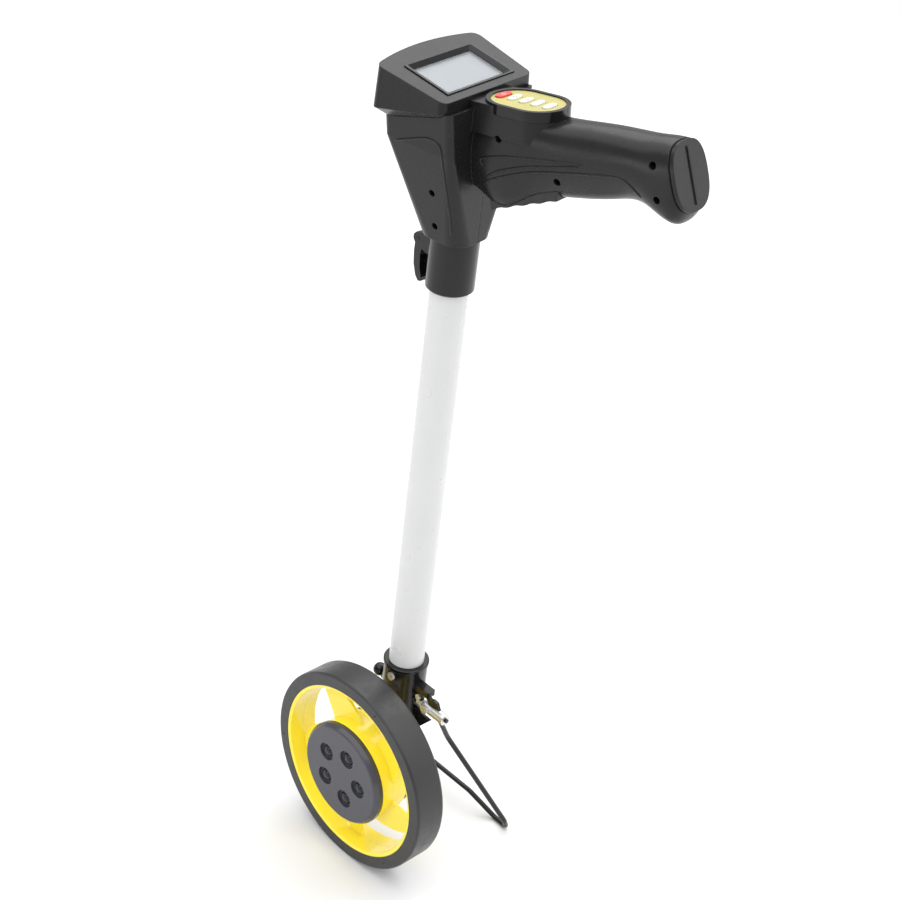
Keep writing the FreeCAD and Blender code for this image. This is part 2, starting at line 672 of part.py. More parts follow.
def make_stand_ends():
    """The pieces on the wire's two ends, which turn on the pivot bolt."""
    height = mm("pivot_height")
    bore = dim("pivot_radius") + dim("running_gap")
    barrel = cylinder("barrel_body", 4.4, 20.0, Placement(POLE + Vector(26.3, 0, height), ALONG_X))
    hole = cylinder("barrel_bore", bore, 9.2, Placement(POLE + Vector(26.0, 0, height), ALONG_X))
    top = stand_point(*LEG_TOP)
    down = stand_point(*LEG_KNEE) - top
    wire_hole = cylinder("barrel_wire_hole", dim("wire_radius"), 10.0,
                         Placement(top, Rotation(Vector(0, 0, 1), down)))
    node("stand_barrel", cut("stand_barrel", barrel, fused("barrel_holes", [hole, wire_hole])))
    screw = POLE + Vector(29.0, -6.2, height + 1.0)
    head = cylinder("barrel_screw_head", 3.4, 2.4, Placement(screw, ALONG_Y))
    slot_corner = Placement(screw + Vector(-2.2, -0.2, -0.4), Rotation())
    slot = block("barrel_screw_slot", 4.4, 0.9, 0.8, slot_corner)
    cross_corner = Placement(screw + Vector(-0.4, -0.2, -2.2), Rotation())
    cross = block("barrel_screw_cross", 0.8, 0.9, 4.4, cross_corner)
    socketed = cut("barrel_screw_cut", head, fused("barrel_screw_recess", [slot, cross]))
    around_barrel = cylinder("barrel_screw_trim", 4.4, 20.0, Placement(POLE + Vector(20, 0, height), ALONG_X))
    node("barrel_screw", cut("barrel_screw", socketed, around_barrel))
    tip = POLE + Vector(46.3, 0, height)
    node("barrel_grub_screw", cylinder("barrel_grub_screw", 1.7, 2.0, Placement(tip, ALONG_X)))
    knob = POLE + Vector(-27.6, 0, height)
    boss = doc.addObject("Part::Sphere", "left_boss_ball")
    bind(boss, "Radius", 5.2)
    boss.Placement = Placement(knob + Vector(1.4, 0, 0), Rotation())
    sides = block("left_boss_sides", 9.2, 12.0, 12.0, Placement(knob + Vector(-2.6, -6, -6), Rotation()))
    rounded = common("left_boss_round", [boss, sides])
    left_bore = cylinder("left_boss_bore", bore, 6.0, Placement(POLE + Vector(-23.3, 0, height), ALONG_X))
    left_top = stand_point(2 * STAND_MIDDLE - LEG_TOP[0], LEG_TOP[1])
    left_down = stand_point(2 * STAND_MIDDLE - LEG_KNEE[0], LEG_KNEE[1]) - left_top
    left_hole = cylinder("left_boss_wire_hole", dim("wire_radius"), 10.0,
                         Placement(left_top, Rotation(Vector(0, 0, 1), left_down)))
    node("stand_left_boss", cut("stand_left_boss", rounded, fused("left_boss_holes", [left_bore, left_hole])))


# ---------------------------------------------------------------- the pole

# along the head and up; the neck's screws hold the sliding tube, the others join the shells
NECK_SCREWS = [(-0.8, 547.6), (-1.0, 523.0)]
HANDLE_SCREWS = [(36.5, 593.5), (79.5, 580.0), (142.5, 613.6), (149.3, 595.0)]
NECK_SEAT, NECK_SHANK = -15.6, 5.9
HANDLE_SEAT, HANDLE_SHANK = -7.8, 14.6
SHANK_RADIUS = 1.2


def neck_screw_hole(name, x, z):
    return cylinder(name, SHANK_RADIUS, NECK_SHANK, Placement(Vector(x, NECK_SEAT, z), ALONG_Y))


def make_tubes():
    at_pole = Placement(POLE, Rotation())
    low, high = dim("tube_bottom"), dim("tube_top")
    outer = new_body("outer_tube_blank", at_pole)
    turned(outer, [(dim("tube_bore"), low), (dim("tube_radius"), low),
                   (dim("tube_radius"), high), (dim("tube_bore"), high)])
    bolt_start = POLE + Vector(-25, 0, mm("pivot_height"))
    bolt_hole = cylinder("tube_bolt_hole", dim("pivot_radius"), 50.0, Placement(bolt_start, ALONG_X))
    screw_hole = cylinder("tube_screw_hole", 1.6, 10.0, Placement(POLE + Vector(2.6, -20, 157), ALONG_Y))
    node("outer_tube", cut("outer_tube", outer, fused("tube_holes", [bolt_hole, screw_hole])))
    inner = new_body("inner_tube_blank", Placement())
    bore, sliding = dim("inner_tube_bore"), dim("inner_tube_radius")
    foot, end = dim("inner_tube_bottom"), dim("inner_tube_top")
    turned(inner, [(bore, foot), (sliding, foot), (sliding, end), (bore, end)])
    holes = [neck_screw_hole(f"tube_neck_hole_{i}", x, z) for i, (x, z) in enumerate(NECK_SCREWS)]
    sliding_tube = cut("inner_tube", inner, fused("tube_neck_holes", holes))
    sliding_tube.Placement = HEAD
    node("inner_tube", sliding_tube)
    gap = dim("running_gap")
    bottom = dim("inner_tube_bottom")
    ring("guide_bush", dim("inner_tube_radius") + gap, dim("tube_bore") - gap, bottom + 3.0, bottom + 18.0,
         at_pole)
    ring("tube_end_ring", dim("inner_tube_bore") - 1.5, dim("tube_bore") - 0.35, bottom - 2.0, bottom, HEAD)
    ring("wiper_bush", dim("inner_tube_radius") + gap, dim("tube_bore"), 486.0, 499.0, at_pole)


def make_collar():
    """The clamp collar on top of the outer tube, with ears for the lever's pin."""
    low, high = dim("collar_bottom"), dim("collar_top")
    radius, tube, sliding = dim("collar_radius"), dim("tube_radius"), dim("inner_tube_radius") + 0.3
    top = dim("tube_top")
    shell = new_body("collar_shell", Placement(POLE, Rotation()))
    turned(shell, [
        (tube, low), (radius - 1.0, low), (radius, low + 1.0), (radius, high - 0.8), (radius - 0.8, high),
        (sliding, high), (sliding, top), (tube, top)])
    reach, pin_height = mm("lever_pin_reach"), mm("lever_pin_height")
    ears = []
    for side in (-1, 1):
        middle = side * (mm("lever_width") / 2 + 1.9)
        outline = [(-11.0, pin_height - 7), (-reach - 1.5, pin_height - 4.2),
                   (-reach - 4.0, pin_height - 1), (-reach - 4.0, pin_height + 1.8),
                   (-reach - 1.5, pin_height + 4.4), (-11.0, pin_height + 7)]
        ears.append(polygon_prism(f"collar_ear_{side + 1}", outline, 3.0, mm("pole_offset") + middle))
    pad = block("collar_pad", 4.0, 9.0, 22.0, Placement(POLE + Vector(-18.2, -4.5, 475.5), Rotation()))
    body = fused("collar_body", [shell] + ears + [pad])
    bore_start = Placement(POLE + Vector(0, 0, 470), Rotation())
    bore = cylinder("collar_bore", tube, mm("tube_top") - 470, bore_start)
    upper = cylinder("collar_upper_bore", sliding, 30.0, Placement(POLE + Vector(0, 0, 490), Rotation()))
    slit = block("collar_slit", 12.0, 1.6, 26.0, Placement(POLE + Vector(-24, 5.6, 469), Rotation()))
    pin_start = POLE + Vector(-reach, -13, pin_height)
    pin_hole = cylinder("collar_pin_hole", 1.5, 26.0, Placement(pin_start, ALONG_Y))
    node("clamp_collar", cut("clamp_collar", body, fused("collar_holes", [bore, upper, slit, pin_hole])))
    half_pin = mm("lever_width") / 2 + 3.6
    pin = POLE + Vector(-reach, -half_pin, pin_height)
    node("lever_pin", cylinder("lever_pin", 1.5, 2 * half_pin, Placement(pin, ALONG_Y)))


def make_lever():
    """A curved lever with an eccentric head round its pin; it hangs down the collar when locked."""
    reach, height = mm("lever_pin_reach"), mm("lever_pin_height")
    outline = [(-19.6, height + 2.8), (-21.4, height + 4.4), (-24.2, height + 4.0), (-26.6, height + 1.6),
               (-28.2, height - 3.0), (-28.6, height - 12.0), (-27.8, height - 21.0), (-25.2, height - 28.4),
               (-22.4, height - 31.4), (-20.0, height - 30.8), (-19.6, height - 28.0), (-21.8, height - 22.0),
               (-22.6, height - 13.0), (-21.6, height - 8.0), (-19.2, height - 3.6)]
    blank = polygon_prism("lever_blank", outline, dim("lever_width") - 0.6, mm("pole_offset"))
    start = POLE + Vector(-reach, -12, height)
    hole = cylinder("lever_hole", 1.56, 24.0, Placement(start, ALONG_Y))
    node("lock_lever", cut("lock_lever", blank, hole))


# ---------------------------------------------------------------- the head's shells

# middle x, middle z, tilt in degrees, half height, half width, squareness, and how much
# narrower the underside is than the top
HANDLE_STATIONS = [
    (6.0, 573.0, 0.0, 31.0, 17.6, 5.0, 0.20),
    (32.0, 577.0, 4.0, 30.0, 18.2, 4.6, 0.24),
    (58.0, 584.7, 8.0, 25.6, 18.2, 3.6, 0.30),
    (84.0, 592.1, 11.0, 22.8, 17.8, 2.9, 0.34),
    (110.0, 599.2, 12.0, 21.2, 17.7, 2.7, 0.34),
    (132.0, 603.6, 15.0, 20.4, 17.8, 2.6, 0.18),
    (147.0, 602.8, 20.0, 24.6, 18.0, 2.6, 0.0),
]
CAP_SQUARENESS = 2.6


def oval_section(name, placement, half_x, half_y, squareness, narrowing=0.0):
    """A closed smooth outline between an ellipse (2) and a rectangle (large squareness)."""
    points = []
    steps = 24
    for i in range(steps):
        angle = 2 * math.pi * (i + 0.5) / steps
        x, y = math.cos(angle), math.sin(angle)
        reach = (abs(x) ** squareness + abs(y) ** squareness) ** (-1 / squareness)
        depth = max(0.0, -x * reach)
        points.append(Vector(half_x * x * reach, half_y * y * reach * (1 - narrowing * depth), 0))
    curve = Part.BSplineCurve()
    curve.interpolate(Points=points, PeriodicFlag=True)
    return feature(name, Part.Wire(curve.toShape()), placement)


def handle_loft(name, inset):
    """The handle as sections across its length; a larger inset gives its hollow."""
    sections = []
    for i, (x, z, tilt, half_height, half_width, squareness, narrowing) in enumerate(HANDLE_STATIONS):
        place = Placement(Vector(x, 0, z), Rotation(Vector(0, 1, 0), -90 - tilt))
        sections.append(oval_section(f"{name}_{i}", place, half_height - inset, half_width - inset,
                                     squareness, narrowing))
    place = Placement(Vector(mm("cap_centre_x"), 0, mm("cap_centre_z")),
                      Rotation(Vector(0, 1, 0), -90 - mm("cap_tilt")))
    sections.append(oval_section(f"{name}_end", place, mm("cap_half_height") - inset,
                                 mm("cap_half_width") - inset, CAP_SQUARENESS))
    return loft(name, sections)


def neck_section(name, height, front, back, half_width, corner):
    place = Placement(Vector(0, 0, height), Rotation())
    return rounded_section(name, place, (front + back) * 0.5, half_width, corner, (back - front) * 0.5)


def neck_lofts(name, inset, low, high):
    """Two straight-sided lofts: the slanted neck and the upright part above it."""
    front, back = mm("neck_front") - inset, mm("neck_back") - inset
    corner = 4.5
    shoulder = neck_section(f"{name}_shoulder", mm("neck_shoulder"), front, back,
                            mm("neck_shoulder_half") - inset, corner)
    small = mm("neck_bottom_half") - inset
    bottom = neck_section(f"{name}_bottom", low, small, 17.6 - inset, small, 12.0 - inset)
    top = neck_section(f"{name}_top", high, front, back, mm("neck_top_half") - inset, corner)
    return [loft(f"{name}_low", [bottom, shoulder], True), loft(f"{name}_high", [shoulder, top], True)]


def keypad_place(lift):
    """A point on the keypad's axis, with the keypad's own tilt."""
    tilt = Rotation(Vector(0, 1, 0), -mm("keypad_tilt"))
    centre = Vector(mm("keypad_centre"), 0, mm("keypad_height"))
    return Placement(centre, tilt).multiply(Placement(Vector(0, 0, lift), Rotation()))


def platform(name, inset, top, depth):
    """The block under the keypad."""
    place = keypad_place(top)
    sketch = rounded_section(name + "_outline", place, dim("keypad_half_length") - inset,
                             dim("keypad_half_width") - inset, dim("keypad_half_width") - inset - 0.4)
    pad = doc.addObject("Part::Extrusion", name)
    pad.Base = sketch
    pad.DirMode = "Custom"
    pad.Dir = place.Rotation.multVec(Vector(0, 0, -1))
    pad.Solid = True
    bind(pad, "LengthFwd", depth)
    return pad


def platform_root(name):
    """Squares the platform off towards the display housing."""
    half_width, length, height = mm("keypad_half_width") - 0.3, 31.5, 19.0
    corner = keypad_place(-0.6 - height).multiply(Placement(Vector(-length, -half_width, 0), Rotation()))
    return block(name, length, 2 * half_width, height, corner)


SHELL_SEAM = 0.1


def half_space(name, side):
    """Everything on one side of the head's middle plane, less the seam."""
    low = SHELL_SEAM if side > 0 else -60.0
    return block(name, 300.0, 60.0 - SHELL_SEAM, 200.0, Placement(Vector(-80, low, 480), Rotation()))


def posts(name):
    """Solid columns inside the shells round each case screw."""
    columns = []
    for i, (x, z) in enumerate(HANDLE_SCREWS):
        columns.append(cylinder(f"{name}_{i}", 3.2, 80.0, Placement(Vector(x, -40, z), ALONG_Y)))
    for i, (x, z) in enumerate(NECK_SCREWS):
        columns.append(cylinder(f"{name}_neck_{i}", 4.0, 40.0, Placement(Vector(x, -40, z), ALONG_Y)))
    return fused(name, columns)


def screw_holes(name):
    tools = []
    seats = [(x, z, HANDLE_SEAT) for x, z in HANDLE_SCREWS] + [(x, z, NECK_SEAT) for x, z in NECK_SCREWS]
    for i, (x, z, seat) in enumerate(seats):
        start = Placement(Vector(x, -42, z), ALONG_Y)
        tools.append(cylinder(f"{name}_recess_{i}", dim("screw_recess"), 42 + seat, start))
    for i, (x, z) in enumerate(HANDLE_SCREWS):
        start = Placement(Vector(x, HANDLE_SEAT, z), ALONG_Y)
        tools.append(cylinder(f"{name}_bore_{i}", SHANK_RADIUS, HANDLE_SHANK, start))
    for i, (x, z) in enumerate(NECK_SCREWS):
        tools.append(neck_screw_hole(f"{name}_neck_bore_{i}", x, z))
    return fused(name, tools)


def make_shells():
    """The left and right halves of neck, web and handle, hollow inside."""
    wall = mm("shell_wall")
    neck = fused("neck_blank", neck_lofts("neck", 0.0, mm("neck_bottom"), mm("neck_top")))
    trimmed = cut("neck_trimmed", neck, neck_top_room("neck_top_room"))
    outer = fused("case_outer", [trimmed, handle_loft("handle", 0.0), platform("platform", 0.3, -5.6, 14.0),
                                 platform_root("platform_root")])
    hollow = fused("case_hollow", neck_lofts("neck_room", wall, mm("neck_bottom") + wall, 606.0) + [
        handle_loft("handle_room", wall), platform("platform_room", wall + 0.3, -5.0, 12.0)])
    tools = [
        cut("case_room", hollow, posts("case_posts")),
        cylinder("case_bore", dim("inner_tube_radius"), 60.0,
                 Placement(Vector(0, 0, mm("neck_bottom") - 1), Rotation())),
        grip_room("case_grip_room"),
        lid_loft("case_lid_room", 0.0),
        stadium_prism("case_keypad_seat", mm("keypad_half_length"), mm("keypad_half_width"), -5.6, 12.0),
        screw_holes("case_screw_holes")]
    case = outer
    for i, tool in enumerate(tools):
        case = cut(f"case_cut_{i}", case, tool)
    for side, label in ((-1, "left_shell"), (1, "right_shell")):
        shell = common(label, [case, half_space(label + "_side", side)])
        shell.Placement = HEAD
        node(label, shell)


def make_case_screws():
    screws = []
    spots = [(x, z, HANDLE_SEAT, HANDLE_SHANK) for x, z in HANDLE_SCREWS]
    spots += [(x, z, NECK_SEAT, NECK_SHANK) for x, z in NECK_SCREWS]
    for i, (x, z, seat, length) in enumerate(spots):
        head = cylinder(f"case_screw_head_{i}", 2.1, 1.6, Placement(Vector(x, seat - 1.6, z), ALONG_Y))
        seated = Placement(Vector(x, seat, z), ALONG_Y)
        shank = cylinder(f"case_screw_shank_{i}", SHANK_RADIUS, length, seated)
        slot_corner = Placement(Vector(x - 1.5, seat - 1.7, z - 0.3), Rotation())
        slot = block(f"case_screw_slot_{i}", 3.0, 0.6, 0.6, slot_corner)
        screws.append(cut(f"case_screw_{i}", fused(f"case_screw_body_{i}", [head, shank]), slot))
    screw_set = group("case_screws", screws)
    screw_set.Placement = HEAD
    node("case_screws", screw_set)


# ---------------------------------------------------------------- display


def face_height(x):
    """Height of the display face above a point x along the head."""
    slope = math.tan(math.radians(mm("display_tilt")))
    return mm("display_near_height") + (mm("display_near") - x) * slope


def edge_height(x):
    """Height of the housing's lower edge above a point x along the head."""
    return mm("display_edge") + x * math.tan(math.radians(mm("display_edge_slope")))


def neck_top_room(name):
    """Everything above the housing's lower edge."""
    near, far, top = 40.0, -60.0, 660.0
    return polygon_prism(name, [(far, edge_height(far)), (near, edge_height(near)), (near, top), (far, top)],
                         130.0)


def below_face(name, drop):
    """Everything below the display face, moved down by a drop."""
    near, far, low = 40.0, -60.0, 560.0
    return polygon_prism(name, [
        (far, low), (near, low), (near, face_height(near) - drop), (far, face_height(far) - drop)], 130.0)


def lid_plan(name, height, slope, inset, side_inset):
    """Outline of the display housing on a sloping plane: a trapezium with a bowed far edge."""
    near, far = mm("display_near") - inset, -mm("display_far") + inset
    near_half, far_half = mm("display_near_half") - side_inset, mm("display_far_half") - side_inset
    bow = mm("display_bow")
    corner = 5.0
    side = Vector(far - near, far_half - near_half, 0).normalize()
    points = {}
    for hand in (-1, 1):
        points[hand] = [
            Vector(near, hand * (near_half - corner), 0),
            Vector(near, hand * near_half, 0) + Vector(side.x, hand * side.y, 0) * corner,
            Vector(far, hand * far_half, 0) - Vector(side.x, hand * side.y, 0) * corner,
            Vector(far - bow * 0.22, hand * (far_half - corner), 0)]
    left, right = points[-1], points[1]
    edges = [
        Part.LineSegment(right[0], left[0]),
        corner_curve(left[0], Vector(near, -near_half, 0), left[1]),
        Part.LineSegment(left[1], left[2]),
        corner_curve(left[2], Vector(far, -far_half, 0), left[3]),
        Part.Arc(left[3], Vector(far - bow, 0, 0), right[3]),
        corner_curve(right[3], Vector(far, far_half, 0), right[2]),
        Part.LineSegment(right[2], right[1]),
        corner_curve(right[1], Vector(near, near_half, 0), right[0])]
    place = Placement(Vector(0, 0, height), Rotation(Vector(0, 1, 0), -slope))
    return feature(name, Part.Wire([edge.toShape() for edge in edges]), place)


def corner_curve(start, tip, end):
    curve = Part.BezierCurve()
    curve.setPoles([start, start + (tip - start) * 0.6, end + (tip - end) * 0.6, end])
    return curve


def lid_loft(name, inset, below=0.0):
    """The housing without its face: skirt, lower edge and brim, with a plain foot if below is given."""
    slope, edge, skirt = mm("display_edge_slope"), mm("display_edge"), mm("display_skirt")
    lean = mm("display_lean")
    tuck, side_tuck = 3.0 + inset, 9.0 + inset
    sections = [lid_plan(name + "_skirt", edge - skirt, slope, tuck, side_tuck),
                lid_plan(name + "_edge", edge, slope, inset, inset),
                lid_plan(name + "_brim", 635.0, 0.0, inset + lean, inset + lean)]
    if below:
        sections.insert(0, lid_plan(name + "_foot", edge - skirt - below, slope, tuck, side_tuck))
    return loft(name, sections, True)


def make_display():
    """Housing, window frame, window, screen and board, stacked along the tilted face."""
    wall = mm("shell_wall")
    outer = common("display_outer", [lid_loft("display_blank", 0.0), below_face("display_face", 0.0)])
    ceiling = below_face("display_ceiling", wall)
    hollow = common("display_hollow", [lid_loft("display_room", wall, 12.0), ceiling])
    near, far, half = mm("window_near"), -mm("window_far"), mm("window_half")
    middle = (near + far) / 2
    tilt = Rotation(Vector(0, 1, 0), mm("display_tilt"))
    face = Placement(Vector(middle, 0, face_height(middle)), tilt)
    length = (near - far) / math.cos(math.radians(mm("display_tilt")))

    def slab(name, long_half, wide_half, low, high):
        place = face.multiply(Placement(Vector(-long_half, -wide_half, low), Rotation()))
        return block(name, 2 * long_half, 2 * wide_half, high - low, place)

    opening = slab("window_opening", length / 2, half, -10.0, 5.0)
    lid = cut("display_housing", outer, fused("display_openings", [hollow, opening]))
    lid.Placement = HEAD
    node("display_housing", lid)

    frame_outer = slab("frame_outer", length / 2, half, -3.4, 0.7)
    inner_near, inner_far = 2.4, -25.3
    shift = (inner_near + inner_far) / 2 - middle
    lens_half = (inner_near - inner_far) / 2 / math.cos(math.radians(mm("display_tilt")))
    lens_wide = 27.8
    lens_place = face.multiply(Placement(Vector(shift, 0, 0), Rotation()))
    rims = []
    for i, (lift, grow) in enumerate(((-3.4, 0.0), (-1.6, 0.0), (0.8, 3.0))):
        place = lens_place.multiply(Placement(Vector(0, 0, lift), Rotation()))
        corner = 0.6 + grow * 0.3
        rims.append(rounded_section(f"frame_rim_{i}", place, lens_half + grow, lens_wide + grow, corner))
    straight, flared = loft("frame_funnel_low", rims[:2], True), loft("frame_funnel_high", rims[1:], True)
    funnel = fused("frame_funnel", [straight, flared])
    frame = cut("display_frame", frame_outer, funnel)
    frame.Placement = HEAD
    node("display_frame", frame)

    def lens_slab(name, grow, low, high):
        place = lens_place.multiply(Placement(Vector(-lens_half - grow, -lens_wide - grow, low), Rotation()))
        return block(name, 2 * (lens_half + grow), 2 * (lens_wide + grow), high - low, place)

    for label, grow, low, high in (("display_window", -0.2, -3.4, -1.9), ("lcd_panel", 1.6, -6.4, -3.4),
                                   ("main_board", 3.0, -9.6, -8.0)):
        piece = lens_slab(label, grow, low, high)
        piece.Placement = HEAD.multiply(piece.Placement)
        node(label, piece)
    buzzer_place = HEAD.multiply(lens_place).multiply(Placement(Vector(4, -14, -14.6), Rotation()))
    node("buzzer", cylinder("buzzer", 6.0, 5.0, buzzer_place))


# ---------------------------------------------------------------- keypad


def stadium_prism(name, half_long, half_wide, low, high, along=0.0, across=False):
    """A round-ended block on the keypad, its long side along the keypad or across it."""
    place = keypad_place(low).multiply(Placement(Vector(along, 0, 0), Rotation()))
    short = half_wide - 0.05
    sizes = (half_wide, half_long) if across else (half_long, half_wide)
    sketch = rounded_section(name + "_outline", place, sizes[0], sizes[1], short)
    prism = doc.addObject("Part::Extrusion", name)
    prism.Base = sketch
    prism.DirMode = "Custom"
    prism.Dir = place.Rotation.multVec(Vector(0, 0, 1))
    prism.Solid = True
    bind(prism, "LengthFwd", high - low)
    return prism


def key_spots():
    """Name, place along the keypad, half length and half width of each key."""
    pitch = mm("key_pitch")
    spots = [("power_key", -2.15 * pitch, 6.4, 2.8)]
    names = ("mode_key", "memory_key", "count_key", "reset_key")
    for i, name in enumerate(names):
        spots.append((name, (i - 1.17) * pitch, mm("key_half_length"), mm("key_half_width")))
    return spots


def make_keypad():
    gap = mm("key_gap")
    frame = stadium_prism("keypad_block", mm("keypad_half_length"), mm("keypad_half_width"), -5.6, 0.9)
    tray = stadium_prism("keypad_tray", mm("plate_half_length"), mm("plate_half_width"), -1.2, 2.0)
    plate = stadium_prism("plate_blank", mm("plate_half_length"), mm("plate_half_width"), -1.2, 0.0)
    wells, holes = [], []
    for name, along, half_long, half_wide in key_spots():
        wells.append(stadium_prism(name + "_well", half_long + 1.1, half_wide + 1.0, -8.0, 0.0, along, True))
        holes.append(stadium_prism(name + "_hole", half_long + gap, half_wide + gap, -3.0, 2.0, along, True))
        stem = stadium_prism(name + "_stem", half_long, half_wide, -4.2, 0.9, along, True)
        flange = stadium_prism(name + "_flange", half_long + 0.7, half_wide + 0.6, -4.2, -1.5, along, True)
        key = fused(name, [stem, flange])
        key.Placement = HEAD
        node(name, key)
    frame_cut = cut("keypad_frame", frame, fused("keypad_room", [tray] + wells))
    frame_cut.Placement = HEAD
    node("keypad_frame", frame_cut)
    plate_cut = cut("keypad_plate", plate, fused("plate_holes", holes))
    plate_cut.Placement = HEAD
    node("keypad_plate", plate_cut)
    board = stadium_prism("key_board", mm("plate_half_length") - 1, mm("plate_half_width") - 1, -8.2, -6.6)
    board.Placement = HEAD
    node("key_board", board)
    domes = []
    for name, along, half_long, half_wide in key_spots():
        place = HEAD.multiply(keypad_place(-6.6)).multiply(Placement(Vector(along, 0, 0), Rotation()))
        domes.append(cylinder(name + "_dome", 2.4, 1.2, place))
    node("dome_switches", group("dome_switches", domes))


# ---------------------------------------------------------------- handle fittings


GRIP_TOP = [(31.0, 549.8), (79.0, 573.4)]
GRIP_WIDTH = 22.0


def make_finger_grip():
    """A soft insert under the handle with four finger hollows."""
    outline = list(GRIP_TOP)
    bumps = 4
    steps = bumps * 10
    (low_x, low_z), (high_x, high_z) = GRIP_TOP
    for i in range(steps + 1):
        along = i / steps
        x = high_x + (low_x + 2.0 - high_x) * along
        z = high_z - 6.8 + (low_z - high_z + 1.2) * along
        outline.append((x, z - 0.4 * math.cos(2 * math.pi * bumps * along)))
    grip = polygon_prism("finger_grip", outline, GRIP_WIDTH)
    grip.Placement = HEAD
    node("finger_grip", grip)


def grip_room(name):
    """The slot that the finger grip fills, open at the bottom of the handle."""
    gap = 0.1
    (low_x, low_z), (high_x, high_z) = GRIP_TOP
    return polygon_prism(name, [
        (low_x - gap, low_z + gap), (high_x + gap, high_z + gap), (high_x + gap, 545.0),
        (low_x - gap, 525.0)],
        GRIP_WIDTH + 2 * gap)


def cap_place(lift):
    """A place on the handle's end face, Z out of the face and X up across it."""
    centre = Vector(mm("cap_centre_x"), 0, mm("cap_centre_z"))
    out = Rotation(Vector(0, 1, 0), 90 - mm("cap_tilt"))
    return HEAD.multiply(Placement(centre, out)).multiply(Placement(Vector(0, 0, lift), Rotation()))


def cap_prism(name, inset, low, high):
    section = oval_section(name + "_outline", cap_place(low), mm("cap_half_height") - inset,
                           mm("cap_half_width") - inset, CAP_SQUARENESS)
    prism = doc.addObject("Part::Extrusion", name)
    prism.Base = section
    prism.DirMode = "Custom"
    prism.Dir = cap_place(0).Rotation.multVec(Vector(0, 0, 1))
    prism.Solid = True
    bind(prism, "LengthFwd", high - low)
    return prism


def make_battery_cap():
    thickness = mm("cap_thickness")
    plate = cap_prism("cap_plate", 0.6, 0.3, thickness)
    plug = cap_prism("cap_plug", mm("shell_wall") + 0.4, -5.0, 0.3)
    ridge_place = cap_place(thickness - 0.5)
    ridge = block("cap_ridge", 34.0, 1.4, 1.3,
                  ridge_place.multiply(Placement(Vector(-17.0, -0.7, 0), Rotation())))
    node("battery_cap", fused("battery_cap", [plate, plug, ridge]))
    contact = cap_place(-5.6).multiply(Placement(Vector(-13.5, -6.5, 0), Rotation()))
    node("cap_contact", block("cap_contact", 27.0, 13.0, 0.6, contact))


def make_batteries():
    """Two rows of cells side by side along the handle, and the contacts at their inner end."""
    radius, length = mm("cell_radius"), mm("cell_length")
    start = HEAD.multiply(Placement(Vector(149.0, 0, 604.9), Rotation(Vector(0, 1, 0), -102.1)))
    end = 1.0 + 2 * (length + 0.4)
    cells, springs = [], []
    for side in (-1, 1):
        across = side * (radius + 0.1)
        for step in range(2):
            offset = Vector(0, across, 1.0 + step * (length + 0.4))
            place = start.multiply(Placement(offset, Rotation()))
            cells.append(cylinder(f"cell_{step}_{side + 1}", dim("cell_radius"), dim("cell_length"), place))
        for turn in range(3):
            coil = doc.addObject("Part::Torus", f"contact_coil_{side + 1}_{turn}")
            bind(coil, "Radius1", 2.6 + 0.5 * turn)
            bind(coil, "Radius2", 0.4)
            coil.Placement = start.multiply(Placement(Vector(0, across, end + 0.5 + 1.1 * turn), Rotation()))
            springs.append(coil)
    node("battery_cells", group("battery_cells", cells))
    node("contact_springs", group("contact_springs", springs))
    back = start.multiply(Placement(Vector(-6, -11, end + 3.4), Rotation()))
    node("contact_plate", block("contact_plate", 12.0, 22.0, 1.2, back))


def write_parts():
    doc.recompute()
    faults = []
    for obj in doc.Objects:
        if "Invalid" in obj.State or "Error" in obj.State:
            faults.append(f"{obj.Name}: {obj.State}")
    for label, obj in parts.items():
        if obj.Shape.isNull() or not obj.Shape.isValid() or not obj.Shape.Solids:
            faults.append(f"{label}: no valid solid")
    if faults:
        raise RuntimeError("; ".join(faults))
    os.makedirs("parts", exist_ok=True)
    for label, obj in parts.items():
        obj.Shape.exportStep(f"parts/{label}.step")
        print(f"{label}: {len(obj.Shape.Solids)} solid(s), {obj.Shape.Volume:.0f} mm3")


make_tyre()
make_rim()
make_hub_cover()
make_hub_plugs()
make_bearings()
make_magnets()
make_axle()
make_fork()
make_socket_screw()
make_sensor()
make_stand_bracket()
make_pivot()
make_stand()
make_stand_ends()
make_tubes()
make_collar()
make_lever()
make_shells()
make_case_screws()
make_display()
make_keypad()
make_finger_grip()
make_battery_cap()
make_batteries()
write_parts()
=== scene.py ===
import json
import math

import bpy
from mathutils import Matrix, Vector
from mathutils.bvhtree import BVHTree


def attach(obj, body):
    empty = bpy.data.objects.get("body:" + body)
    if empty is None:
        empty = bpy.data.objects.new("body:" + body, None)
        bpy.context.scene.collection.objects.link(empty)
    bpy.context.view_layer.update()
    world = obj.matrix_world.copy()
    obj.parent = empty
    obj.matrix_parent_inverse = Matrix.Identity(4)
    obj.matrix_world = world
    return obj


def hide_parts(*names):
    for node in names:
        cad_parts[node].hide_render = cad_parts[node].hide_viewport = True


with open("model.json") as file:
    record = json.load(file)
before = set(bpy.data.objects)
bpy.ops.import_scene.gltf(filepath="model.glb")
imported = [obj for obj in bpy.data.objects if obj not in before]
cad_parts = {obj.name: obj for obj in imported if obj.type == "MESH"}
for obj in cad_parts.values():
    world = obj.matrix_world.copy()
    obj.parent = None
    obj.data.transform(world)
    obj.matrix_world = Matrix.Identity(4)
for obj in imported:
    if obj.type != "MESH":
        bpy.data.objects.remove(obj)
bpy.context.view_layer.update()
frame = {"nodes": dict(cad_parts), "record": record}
nodes = frame["nodes"]

# ---------------------------------------------------------------- camera, light and floor

SURROUND_STRENGTH = 0.58
FLOOR_REACH = 20.0
FLOOR_GREY = 0.76


